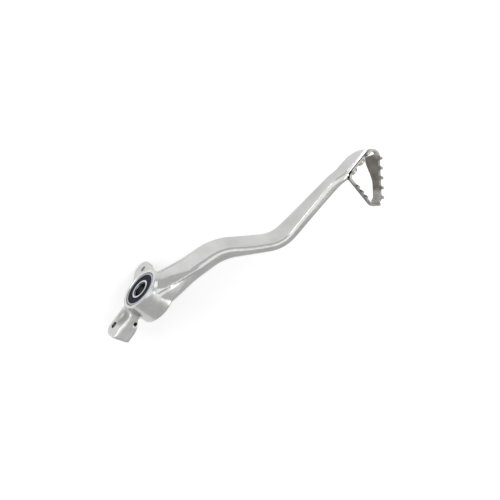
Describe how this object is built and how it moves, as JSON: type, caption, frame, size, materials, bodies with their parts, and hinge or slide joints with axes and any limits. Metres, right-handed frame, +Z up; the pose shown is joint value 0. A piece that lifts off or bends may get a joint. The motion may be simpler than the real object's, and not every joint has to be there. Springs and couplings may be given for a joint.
{
  "type": "rear brake pedal",
  "caption": "Swept forged aluminium brake pedal with sealed ball bearings in its pivot hub, a push rod fork, a spring ear and a toothed steel step plate.",
  "frame": {"origin": "centre of the pivot bore, halfway between the two bearings", "axes": "+X forwards along the pedal to the step plate, +Y along the pivot towards the motorcycle's middle (inboard), +Z up"},
  "size_m": [0.2686, 0.1345, 0.0648],
  "materials": {
    "forged_aluminium": "polished forging with a satin grain",
    "bearing_steel": "ground and polished",
    "ball_steel": "mirror polished",
    "cage_polymer": "moulded",
    "seal_rubber": "moulded, slightly glossy",
    "zinc_steel": "turned",
    "dark_steel": "blasted and darkened",
    "screw_steel": "bright zinc plating"
  },
  "bodies": {
    "pedal": {"lever": "forged_aluminium", "inboard_outer_ring": "bearing_steel", "outboard_outer_ring": "bearing_steel", "inboard_front_seal": "seal_rubber", "inboard_back_seal": "seal_rubber", "outboard_front_seal": "seal_rubber", "outboard_back_seal": "seal_rubber", "step_plate": "dark_steel", "front_step_screw": "screw_steel", "rear_step_screw": "screw_steel"},
    "pivot_races": {"inboard_inner_ring": "bearing_steel", "outboard_inner_ring": "bearing_steel", "bearing_spacer": "zinc_steel"},
    "ball_cages": {"inboard_cage": "cage_polymer", "outboard_cage": "cage_polymer", "inboard_balls": "ball_steel", "outboard_balls": "ball_steel"}
  },
  "joints": [
    {"name": "pivot_turn", "type": "hinge", "parent": "pedal", "child": "pivot_races", "pos_m": [0, 0, 0], "axis": [0, 1, 0], "continuous": true},
    {"name": "ball_orbit", "type": "hinge", "parent": "pedal", "child": "ball_cages", "pos_m": [0, 0, 0], "axis": [0, 1, 0], "continuous": true}
  ],
  "couplings": [
    {"joint": "ball_orbit", "follows": "pivot_turn", "ratio": 0.36477}
  ]
}
